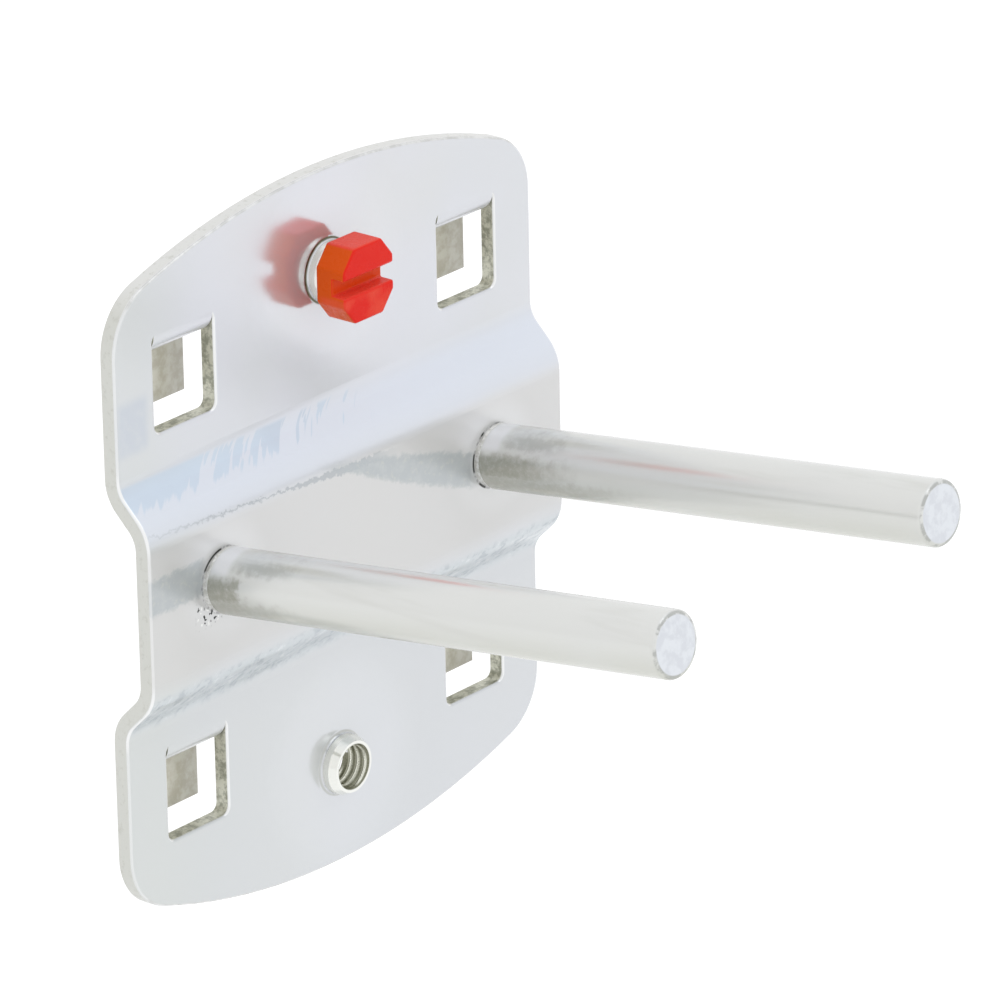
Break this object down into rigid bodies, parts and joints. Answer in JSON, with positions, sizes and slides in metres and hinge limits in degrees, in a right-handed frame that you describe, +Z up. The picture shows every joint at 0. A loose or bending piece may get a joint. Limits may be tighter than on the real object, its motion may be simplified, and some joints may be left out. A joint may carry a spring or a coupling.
{
  "type": "pegboard hook",
  "caption": "Zinc-plated sheet-metal tool holder with two round steel pins, rear hooks for a perforated metal panel and a slotted plastic locking screw.",
  "frame": {"origin": "middle of the plate in the plane of the flanges' rear face, which lies on the panel", "axes": "+X across the plate to the right as seen from the front, +Y out of the rear face into the panel, +Z up; the pins stand out toward -Y"},
  "size_m": [0.056, 0.0582, 0.0654],
  "materials": {
    "zinc_sheet": "bright zinc plating, smooth and half mirror-like",
    "zinc_pin": "bright zinc plating on drawn bar",
    "red_plastic": "moulded, satin to glossy"
  },
  "bodies": {
    "holder": {"plate": "zinc_sheet", "pin_left": "zinc_pin", "pin_right": "zinc_pin"},
    "screw": {"locking_screw": "red_plastic"}
  },
  "joints": [
    {"name": "screw_turn", "type": "hinge", "parent": "holder", "child": "screw", "pos_m": [0, -0.0031, 0.0233], "axis": [0, -1, 0], "range_deg": [0, 630]}
  ]
}
